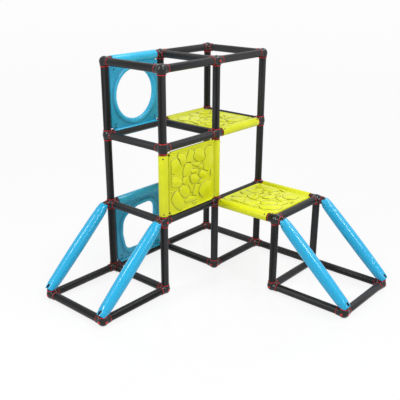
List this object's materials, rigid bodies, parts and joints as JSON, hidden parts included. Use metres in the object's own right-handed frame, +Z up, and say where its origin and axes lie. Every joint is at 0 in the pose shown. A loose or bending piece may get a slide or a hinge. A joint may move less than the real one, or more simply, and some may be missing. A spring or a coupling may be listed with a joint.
{
  "type": "toddler climbing gym",
  "caption": "Indoor climbing frame of black tubes in moulded connectors, with pebble platforms, a climbing wall, crawl-through panels and ramps with padded rails.",
  "frame": {"origin": "on the floor, under the middle of the bounding box", "axes": "+Z up; +X from the tower towards the right ramp; +Y away from the left ramp"},
  "size_m": [1.417, 1.417, 1.309],
  "materials": {
    "black_tube": "satin extruded tube",
    "black_moulding": "semi-gloss moulding",
    "red_plastic": "semi-gloss moulding",
    "lime_plastic": "satin moulding",
    "blue_plastic": "satin moulding",
    "blue_vinyl": "glossy coated fabric",
    "grey_foam": "closed-cell foam",
    "dark_fasteners": "blackened"
  },
  "bodies": {
    "root": {"floor_rails_x": "black_tube", "floor_rails_y": "black_tube", "level1_rails_x": "black_tube", "level1_rails_y": "black_tube", "level2_rails_x": "black_tube", "level2_rails_y": "black_tube", "top_rails_x": "black_tube", "top_rails_y": "black_tube", "left_post": "black_tube", "front_post": "black_tube", "back_middle_post": "black_tube", "front_middle_post": "black_tube", "back_post": "black_tube", "right_post": "black_tube", "deck_front_post": "black_tube", "deck_back_post": "black_tube", "tower_feet": "black_moulding", "deck_feet": "black_moulding", "ramp_feet": "black_moulding", "level1_connectors": "black_moulding", "deck_connectors": "black_moulding", "level2_connectors": "black_moulding", "top_connectors": "black_moulding", "floor_collars": "red_plastic", "level1_collars": "red_plastic", "level2_collars": "red_plastic", "top_collars": "red_plastic", "connector_plugs": "red_plastic", "upper_elbows": "black_moulding", "lower_elbows": "black_moulding", "left_back_brace": "black_tube", "left_front_brace": "black_tube", "right_front_brace": "black_tube", "right_back_brace": "black_tube", "left_back_foam": "grey_foam", "left_front_foam": "grey_foam", "right_front_foam": "grey_foam", "right_back_foam": "grey_foam", "left_back_pad": "blue_vinyl", "left_front_pad": "blue_vinyl", "right_front_pad": "blue_vinyl", "right_back_pad": "blue_vinyl", "pad_studs": "dark_fasteners", "upper_platform": "lime_plastic", "lower_platform": "lime_plastic", "climbing_wall": "lime_plastic", "upper_crawl_panel": "blue_plastic", "lower_crawl_panel": "blue_plastic", "upper_platform_screws": "dark_fasteners", "lower_platform_screws": "dark_fasteners", "climbing_wall_screws": "dark_fasteners", "upper_crawl_screws": "dark_fasteners", "lower_crawl_screws": "dark_fasteners"}
  },
  "joints": []
}
